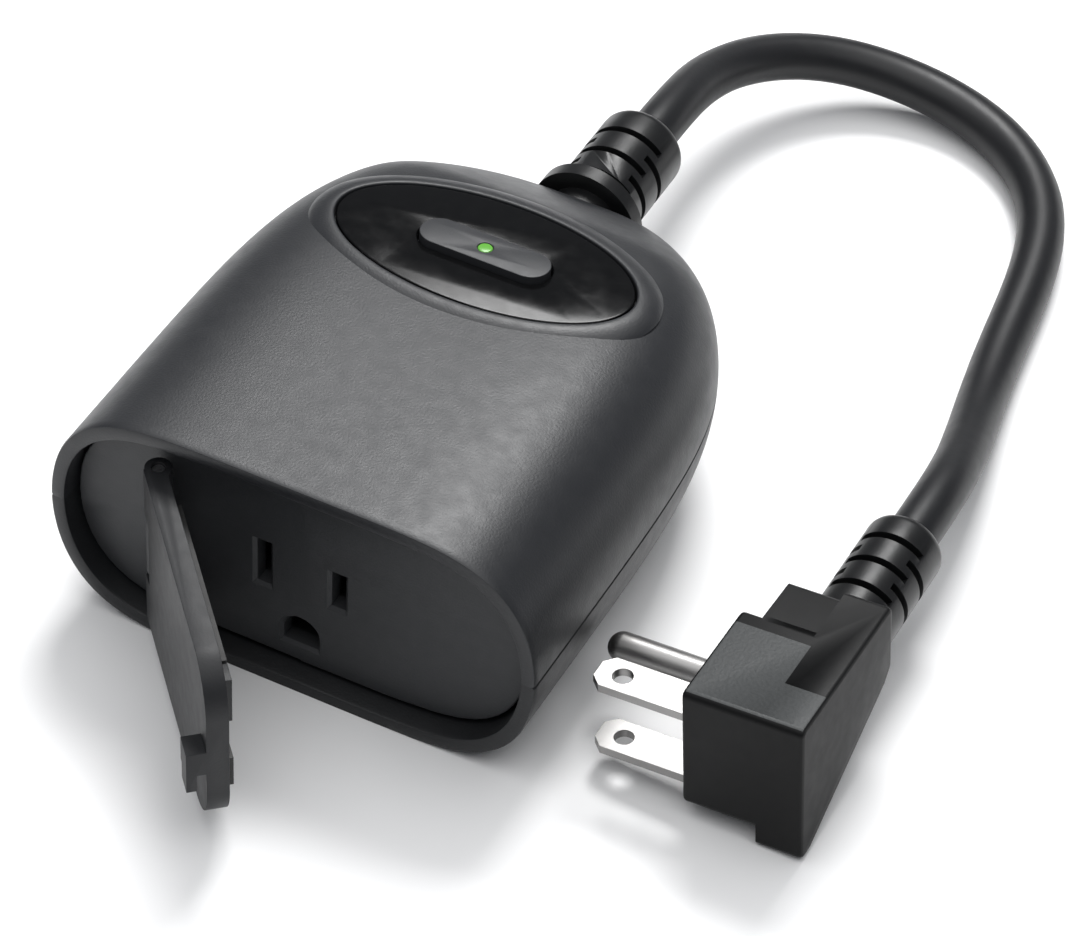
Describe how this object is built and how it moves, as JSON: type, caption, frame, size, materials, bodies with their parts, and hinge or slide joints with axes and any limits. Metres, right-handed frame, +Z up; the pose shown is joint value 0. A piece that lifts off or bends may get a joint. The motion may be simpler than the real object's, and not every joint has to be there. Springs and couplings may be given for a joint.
{
  "type": "outdoor smart plug",
  "caption": "Outdoor smart plug: flat bullet-shaped housing with a covered grounded outlet, an oval panel with a push button, a short cord and a right-angle three-pin plug.",
  "frame": {"origin": "centre of the housing's flat underside", "axes": "+Y along the housing from the outlet end to the cord end, +X to the right when looking at the outlet, +Z up through the button"},
  "size_m": [0.1238, 0.21, 0.0423],
  "materials": {
    "upper_shell": "fine spark texture, satin",
    "lower_shell": "fine spark texture, satin",
    "shell_seal": "matt",
    "outlet_plate": "fine texture",
    "outlet_housing": "as moulded",
    "neutral_contact": "stamped strip",
    "hot_contact": "stamped strip",
    "ground_contact": "stamped strip",
    "outlet_cover": "fine spark texture, satin",
    "cover_pin": "drawn wire",
    "cover_seal": "matt",
    "control_panel": "polished",
    "button": "satin",
    "light_guide": "clear green",
    "button_seal": "matt",
    "switch_base": "as moulded",
    "switch_plunger": "as moulded",
    "status_led": "clear",
    "control_board": "solder mask",
    "radio_module": "shield can",
    "power_board": "solder mask",
    "relay": "moulded case",
    "transformer": "taped winding and ferrite core",
    "bulk_capacitors": "printed sleeve",
    "line_capacitor": "box film capacitor",
    "fuse": "glass tube with steel caps",
    "varistor": "dipped disc",
    "choke": "coated ring",
    "rectifier": "moulded package",
    "screw_terminals": "moulded block",
    "board_header": "moulded housing",
    "live_wire": "insulation",
    "neutral_wire": "insulation",
    "ground_wire": "insulation",
    "case_screws": "zinc plated",
    "board_screws": "zinc plated",
    "body_boot": "matt moulded",
    "cord": "satin jacket",
    "plug_boot": "matt moulded",
    "plug_body": "moulded, fine texture on the grip",
    "live_blade": "nickel plated",
    "neutral_blade": "nickel plated",
    "ground_pin": "nickel plated"
  },
  "bodies": {
    "housing": {"upper_shell": "upper_shell", "lower_shell": "lower_shell", "shell_seal": "shell_seal", "outlet_plate": "outlet_plate", "outlet_housing": "outlet_housing", "neutral_contact": "neutral_contact", "hot_contact": "hot_contact", "ground_contact": "ground_contact", "cover_pin": "cover_pin", "control_panel": "control_panel", "button_seal": "button_seal", "switch_base": "switch_base", "status_led": "status_led", "control_board": "control_board", "radio_module": "radio_module", "power_board": "power_board", "relay": "relay", "transformer": "transformer", "bulk_capacitors": "bulk_capacitors", "line_capacitor": "line_capacitor", "fuse": "fuse", "varistor": "varistor", "choke": "choke", "rectifier": "rectifier", "screw_terminals": "screw_terminals", "board_header": "board_header", "live_wire": "live_wire", "neutral_wire": "neutral_wire", "ground_wire": "ground_wire", "case_screws": "case_screws", "board_screws": "board_screws", "body_boot": "body_boot", "cord": "cord", "plug_boot": "plug_boot", "plug_body": "plug_body", "live_blade": "live_blade", "neutral_blade": "neutral_blade", "ground_pin": "ground_pin"},
    "cover": {"outlet_cover": "outlet_cover", "cover_seal": "cover_seal"},
    "button": {"button": "button", "light_guide": "light_guide", "switch_plunger": "switch_plunger"}
  },
  "joints": [
    {"name": "cover_hinge", "type": "hinge", "parent": "housing", "child": "cover", "pos_m": [-0.0225, -0.0476, 0.0145], "axis": [0, 0, 1], "range_deg": [-60, 48]},
    {"name": "button_press", "type": "slide", "parent": "housing", "child": "button", "axis": [0, -0.0872, -0.9962], "range_m": [0, 0.0005], "stiffness_N_per_m": 2000, "springref_m": -0.0003}
  ]
}
